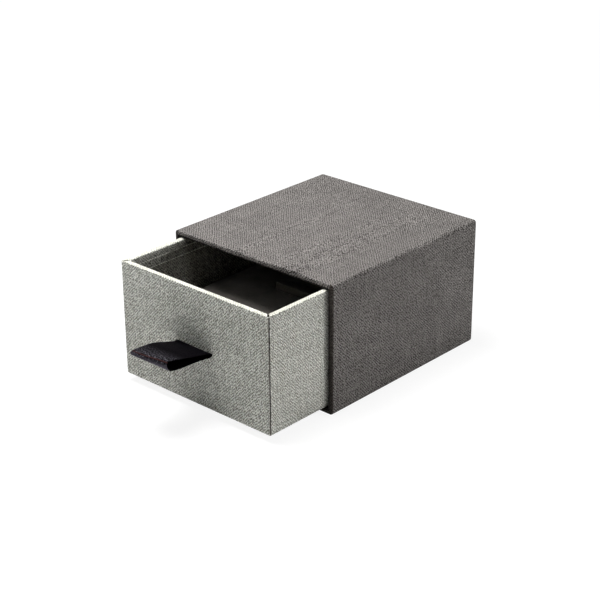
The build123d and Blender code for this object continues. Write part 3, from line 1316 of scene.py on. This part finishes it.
@dataclass
class RingPad:
    """The foam pad in its pile cover, with the slit that grips the ring and the lip behind it.

    Args:
        block: The box that the pad fills, its lip included.
        edge_level: Height of the pad's top at its edges.
        crown: How far the middle stands above the edges.
        crown_flatness: Under 1, the crown is flat in the middle and falls near the edges.
        drawn_in: How far each side is drawn in at its middle.
        side_grip: The higher, the nearer to the sides the drawing in stays.
        edge_radius: Radius of the upright edges.
        top_radius: Radius of the top edges.
        unevenness: How far the top wanders up and down.
        hollow_size: Size of the top's hollows.
        slit_half_length: Half the length of the ring slit.
        slit_front: Where the slit starts.
        slit_back: Where the slit ends and the lip stands.
        slit_depth: How deep the slit is.
        slit_end: Width of the steep end of the lip.
        lip_rise: How far the lip stands above the crown.
        lip_length: How far back the lip runs down to the pad.
        facet: Longest length of a face on the pad.
    """

    block: Span = span_of("insert_cover")
    edge_level: float = 21.9 * MM
    crown: float = 0.8 * MM
    crown_flatness: float = 0.7
    drawn_in: float = 0.4 * MM
    side_grip: int = 6
    edge_radius: float = 1.4 * MM
    top_radius: float = 1.26 * MM
    unevenness: float = 0.06 * MM
    hollow_size: float = 7 * MM
    slit_half_length: float = 9.0 * MM
    slit_front: float = -14.75 * MM
    slit_back: float = -13.95 * MM
    slit_depth: float = 9.0 * MM
    slit_end: float = 0.25 * MM
    lip_rise: float = 1.9 * MM
    lip_length: float = 8.6 * MM
    facet: float = 1.6 * MM

    def shape(self, place: Vector) -> Vector:
        """Draw the sides in, raise the crown and lift the lip behind the slit.

        Args:
            place: A point of the pad.

        Returns:
            Its new place.
        """
        middle, half = self.block.middle, self.block.size / 2
        across = (place.x - middle.x) / half.x
        along = (place.y - middle.y) / half.y
        height = (place.z - self.block.low.z) / (self.edge_level - self.block.low.z)
        draw, grip = self.drawn_in, self.side_grip
        place.x -= math.copysign(draw, across) * (1 - along**2) * abs(across) ** grip
        place.y -= math.copysign(draw, along) * (1 - across**2) * abs(along) ** grip
        if height > 0.9:
            dome = max(0.0, 1 - across**2) * max(0.0, 1 - along**2)
            place.z += self.crown * dome**self.crown_flatness
            behind = place.y >= self.slit_back - TOUCHING
            if behind and abs(place.x) <= self.slit_half_length + TOUCHING:
                run = (place.y - self.slit_back) / self.lip_length
                place.z += self.lip_rise * (1 - ease(run))
            place.z += self.unevenness * noise.noise(place / self.hollow_size)
        return place

    def model_pad(self) -> Piece:
        """Shape the pad from one block.

        Returns:
            The pad.
        """
        low, high = self.block.low, self.block.high.copy()
        high.z = self.edge_level
        pad = add_block("ring_pad", Span(low, high))
        reach, end, back = self.slit_half_length, self.slit_end, self.slit_back

        def any_face(face: Face) -> bool:
            """Take every face."""
            return True

        with Bench(pad) as bench:
            bench.soften(edges_along(Axis.UP), self.edge_radius, steps=4)
            bench.soften(edges_at(Axis.UP, high.z), self.top_radius, steps=4)
            for axis, places in (
                (Axis.ACROSS, (-reach - end, -reach, reach, reach + end)),
                (Axis.DEEP, (self.slit_front, back, back + self.lip_length)),
            ):
                for place in places:
                    bench.cut(any_face, axis.direction * place, axis.direction)
            bench.divide(Axis.ACROSS, self.facet)
            bench.divide(Axis.DEEP, self.facet)
            bench.move_points(self.shape)
            self.open_slit(bench)
        finish_piece(pad)
        return pad

    def open_slit(self, bench: Bench) -> None:
        """Push the slit's floor down into the foam.

        Args:
            bench: The pad's bench.
        """

        def in_slit(face: Face) -> bool:
            """Say whether a face is on top between the slit's sides."""
            place = face.calc_center_median()
            between = self.slit_front < place.y < self.slit_back
            return between and abs(place.x) < self.slit_half_length and face.normal.z > LEANING

        bench.pick(Element.FACE, in_slit)
        move = {"value": (0, 0, -self.slit_depth)}
        bpy.ops.mesh.extrude_region_move(TRANSFORM_OT_translate=move)

    def build(self, finishes: Finishes) -> Piece:
        """Model and dress the pad.

        Args:
            finishes: The box's finishes.

        Returns:
            The pad.
        """
        pad = self.model_pad()
        finishes.dress(pad, "pad_pile")
        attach(pad, "drawer")
        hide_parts("foam_insert", "insert_cover")
        return pad


# ---------------- ribbon pull


@dataclass
class RibbonPull:
    """One satin strap doubled into a loop, through the slit and glued down behind the front board.

    Each side edge is a line of points, from the end of the lower layer's tail round to the end of
    the upper one's: how far out of the drawer's front, and the height above the slit, in mm.

    Args:
        tray: The tray's cover, whose front the strap comes out of.
        slit_level: Height of the slit.
        width: The strap's width.
        thickness: The strap's thickness.
        sag: How far the middle of each layer hangs between the edges.
        sag_from: How far out of the front the sag is full.
        rows: How many faces long the strap is.
        columns: How many faces wide it is.
        left_edge: The left edge's points.
        right_edge: The right edge's points.
    """

    tray: Span = span_of("drawer_wrap")
    slit_level: float = 20.7 * MM
    width: float = 15.0 * MM
    thickness: float = 0.3 * MM
    sag: float = 0.15 * MM
    sag_from: float = 10 * MM
    rows: int = 120
    columns: int = 14
    # fmt: off
    left_edge: Points = (
        (-1.83, -10.8), (-1.83, -4.0), (-1.8, -0.5), (-1.2, -0.2), (0.0, -0.25), (3.0, -0.2),
        (8.0, 0.35), (13.0, 1.1), (17.2, 1.8), (18.1, 2.1), (18.3, 2.6), (18.1, 3.1),
        (16.4, 3.3), (13.4, 3.2), (9.1, 2.7), (4.7, 1.4), (1.2, 0.35), (-0.4, 0.2),
        (-1.2, 0.16), (-2.05, -0.3), (-2.13, -4.0), (-2.13, -10.8),
    )
    right_edge: Points = (
        (-1.83, -10.8), (-1.83, -4.0), (-1.8, -0.5), (-1.2, -0.2), (-0.2, -0.35), (0.6, -0.75),
        (2.0, -0.5), (5.75, -0.1), (10.1, 0.15), (13.6, 0.4), (16.2, 0.95), (17.4, 1.85),
        (17.8, 2.9), (17.5, 4.2), (16.9, 4.5), (14.3, 4.05), (10.0, 2.95), (5.7, 2.0),
        (2.4, 1.35), (0.7, 0.9), (-0.3, 0.25), (-1.2, 0.16), (-2.05, -0.3), (-2.13, -4.0),
        (-2.13, -10.8),
    )
    # fmt: on

    def round_off(self, points: Points, steps: int = 16) -> list[Vector]:
        """Lay a smooth line through an edge's points.

        Args:
            points: The edge's points.
            steps: How many places are laid for each point.

        Returns:
            Places along the line, as (out of the front, above the slit), in metres.
        """
        line = [Vector((*point, 0.0)) * MM for point in points]
        places = []
        for i, (start, end) in enumerate(zip(line, line[1:])):
            before, after = line[max(i - 1, 0)], line[min(i + 2, len(line) - 1)]
            run = (end - start).length
            leave = start + (end - before).normalized() * run / 3
            arrive = end - (after - start).normalized() * run / 3
            for step in range(steps):
                t = step / steps
                place = (1 - t) ** 3 * start + 3 * (1 - t) ** 2 * t * leave
                places.append(place + 3 * (1 - t) * t**2 * arrive + t**3 * end)
        return [*places, line[-1]]

    def space_out(self, line: list[Vector]) -> list[Vector]:
        """Lay the ends of the strap's rows along a line.

        Args:
            line: Places along the line.

        Returns:
            Places at equal distances along it, one more than there are rows.
        """
        reached = [0.0]
        for a, b in zip(line, line[1:]):
            reached.append(reached[-1] + (b - a).length)
        places = []
        k = 0
        for row in range(self.rows + 1):
            wanted = reached[-1] * row / self.rows
            while k < len(line) - 2 and reached[k + 1] < wanted:
                k += 1
            part = (wanted - reached[k]) / (reached[k + 1] - reached[k])
            places.append(line[k].lerp(line[k + 1], clamp(part, 0.0, 1.0)))
        return places

    def model_strap(self) -> Piece:
        """Lay the strap between its two edges.

        Returns:
            The strap.
        """
        left = self.space_out(self.round_off(self.left_edge))
        right = self.space_out(self.round_off(self.right_edge))
        length = sum((b - a).length for a, b in zip(left, left[1:])) / MM
        log.info("ribbon's left edge is %.1f mm long", length)
        bpy.ops.object.select_all(action="DESELECT")
        bpy.ops.mesh.primitive_grid_add(
            x_subdivisions=self.columns, y_subdivisions=self.rows, size=1.0
        )
        strap = bpy.context.object
        strap.name = strap.data.name = "ribbon_loop"
        points, threads = strap.data.vertices, strap.data.uv_layers[0]
        threads.name = "strap"
        for corner in strap.data.loops:
            flat = points[corner.vertex_index].co
            uv = ((flat.x + 0.5) * self.width / MM, (flat.y + 0.5) * length)
            threads.data[corner.index].uv = uv
        for point in points:
            across, row = point.co.x + 0.5, round((point.co.y + 0.5) * self.rows)
            place = left[row].lerp(right[row], ease(across))
            out = clamp(place.x / self.sag_from, 0, 1)
            sag = self.sag * math.sin(math.pi * across) * out
            x, y = (across - 0.5) * self.width, self.tray.low.y - place.x
            point.co = Vector((x, y, self.slit_level + place.y - sag))
        finish_piece(strap, thickness=self.thickness, level=1)
        return strap

    def build(self, finishes: Finishes) -> Piece:
        """Model and dress the ribbon, whose flat length is measured round its edges.

        Args:
            finishes: The box's finishes.

        Returns:
            The strap.
        """
        strap = self.model_strap()
        finishes.dress(strap, "satin_ribbon")
        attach(strap, "drawer")
        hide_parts("ribbon_pull")
        return strap


# ---------------- studio


@dataclass(frozen=True)
class Softbox:
    """A square soft lamp that points at the box.

    Args:
        name: The lamp's name.
        place: Where it is, in metres.
        side: Its side, in metres.
        power: Its power, in watts.
    """

    name: str
    place: tuple[float, float, float]
    side: float
    power: float

    def build(self, aim: Vector) -> None:
        """Add the lamp.

        Args:
            aim: The place that it points at.
        """
        lamp = bpy.data.lights.new(self.name, "AREA")
        lamp.energy = self.power
        lamp.size = self.side
        holder = bpy.data.objects.new(self.name, lamp)
        holder.location = self.place
        holder.rotation_euler = (Vector(self.place) - aim).to_track_quat("Z", "Y").to_euler()
        bpy.context.scene.collection.objects.link(holder)


def seen_white(add: AddNode) -> Node:
    """Add nodes that give 1 for what the camera sees, itself, by reflection or through glass.

    Args:
        add: Adds a node to the material or the world.

    Returns:
        The node that gives it.
    """
    rays = add("ShaderNodeLightPath").outputs
    direct = add(
        "ShaderNodeMath",
        {"operation": "MAXIMUM"},
        {0: rays["Is Camera Ray"], 1: rays["Is Glossy Ray"]},
    )
    return add(
        "ShaderNodeMath", {"operation": "MAXIMUM"}, {0: direct, 1: rays["Is Transmission Ray"]}
    )


@dataclass(frozen=True)
class PaleFloor(Finish):
    """White-painted floor, which the camera sees as white apart from the box's shadow.

    Args:
        name: The material's name.
        bounce: How much light it throws back at the box.
        shadow: How much of its own lighting the camera sees.
        glow: White that it shows beside the box, where the lamps add the rest.
    """

    name: str = "pale_floor"
    bounce: float = 0.8
    shadow: float = 0.16
    glow: float = 0.88

    def surface(self, add: AddNode) -> Node:
        """Add the nodes: away from the box the lamps fade, and the floor's own white takes over.

        Args:
            add: Adds a node to the material.

        Returns:
            Its shader.
        """
        paint = add("ShaderNodeBsdfDiffuse", {"Color": (*(self.bounce,) * 3, 1.0)})
        shadow = add("ShaderNodeBsdfDiffuse", {"Color": (*(self.shadow,) * 3, 1.0)})
        here = add("ShaderNodeTexCoord").outputs["Object"]
        away = add("ShaderNodeVectorMath", {"operation": "LENGTH"}, {0: here})
        fade = add(
            "ShaderNodeMapRange",
            {"From Min": 0.12, "From Max": 0.5, "To Min": self.glow, "To Max": 1.0},
            {"Value": away.outputs["Value"]},
        )
        glow = add("ShaderNodeEmission", {"Color": (1, 1, 1, 1)}, {"Strength": fade})
        lit = add("ShaderNodeAddShader", links={0: shadow, 1: glow})
        return add("ShaderNodeMixShader", links={0: seen_white(add), 1: paint, 2: lit})


@dataclass
class Studio:
    """A pale floor, soft light and the camera that took the photograph.

    Args:
        image_side: Side of the square picture, in pixels.
        focal_pixels: Focal length, in pixels.
        sensor: Width of the sensor, in mm.
        camera_place: Where the camera is, in metres.
        azimuth: How far round to the right the camera stands, in degrees.
        elevation: How far above the horizon it looks down from, in degrees.
        roll: How far it is turned about its own line of sight, in degrees.
        aim: What the lamps point at, in metres.
        lamps: The lamps.
        floor_level: Height of the floor, in metres.
        ambient: Strength of the even light from all round.
    """

    image_side: float = 600.0
    focal_pixels: float = 1579.6
    sensor: float = 36.0
    camera_place: tuple[float, float, float] = (0.30399, -0.34303, 0.22426)
    azimuth: float = 42.61
    elevation: float = 24.41
    roll: float = -0.4
    aim: tuple[float, float, float] = (0, -0.01, 0.02)
    lamps: tuple[Softbox, ...] = (
        Softbox("overhead", (-0.05, -0.053, 0.29), 0.15, 1.62),
        Softbox("right_card", (0.38, 0.20, 0.16), 0.12, 1.0),
        Softbox("front_fill", (-0.15, -0.45, 0.50), 0.2, 0.18),
    )
    floor_level: float = -0.05 * MM
    ambient: float = 0.02

    def add_camera(self) -> None:
        """Add the camera and make it the scene's."""
        view = bpy.data.cameras.new("camera")
        view.sensor_width = self.sensor
        view.lens = self.sensor * self.focal_pixels / self.image_side
        view.clip_start, view.clip_end = 0.01, 20.0
        holder = bpy.data.objects.new("camera", view)
        turn = Matrix.Rotation(math.radians(self.azimuth), 4, "Z")
        tilt = Matrix.Rotation(math.radians(90 - self.elevation), 4, "X")
        lean = Matrix.Rotation(math.radians(self.roll), 4, "Z")
        holder.matrix_world = Matrix.Translation(self.camera_place) @ turn @ tilt @ lean
        bpy.context.scene.collection.objects.link(holder)
        bpy.context.scene.camera = holder

    def add_floor(self) -> None:
        """Add the floor."""
        bpy.ops.object.select_all(action="DESELECT")
        bpy.ops.mesh.primitive_plane_add(size=8.0, location=(0, 0, self.floor_level))
        floor = bpy.context.object
        floor.name = "floor"
        floor.data.materials.append(PaleFloor().build())

    def add_world(self) -> None:
        """Add the even light from all round, which the camera sees as white."""
        world = bpy.data.worlds.new("studio")
        world.use_nodes = True
        tree = world.node_tree
        tree.nodes.clear()
        add = partial(add_node, tree)
        even, white = (
            add("ShaderNodeBackground", {"Color": (1, 1, 1, 1), "Strength": strength})
            for strength in (self.ambient, 1.0)
        )
        either = add("ShaderNodeMixShader", links={0: seen_white(add), 1: even, 2: white})
        add("ShaderNodeOutputWorld", links={"Surface": either})
        bpy.context.scene.world = world

    def build(self) -> None:
        """Set up the whole studio."""
        for lamp in self.lamps:
            lamp.build(Vector(self.aim))
        self.add_floor()
        self.add_world()
        self.add_camera()
        bpy.context.scene.view_settings.view_transform = "Standard"


# ---------------- all together


def main() -> None:
    """Build the box's new pieces, dress everything and set up the studio."""
    logging.basicConfig(level=logging.INFO, format="%(name)s: %(message)s")
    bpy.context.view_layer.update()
    finishes = Finishes()
    finishes.dress_frame()
    for assembly in (Sleeve(), Tray(), RingPad(), RibbonPull()):
        piece = assembly.build(finishes)
        log.info("%s: %d faces", piece.name, len(piece.data.polygons))
    Studio().build()


if __name__ == "__main__":
    main()
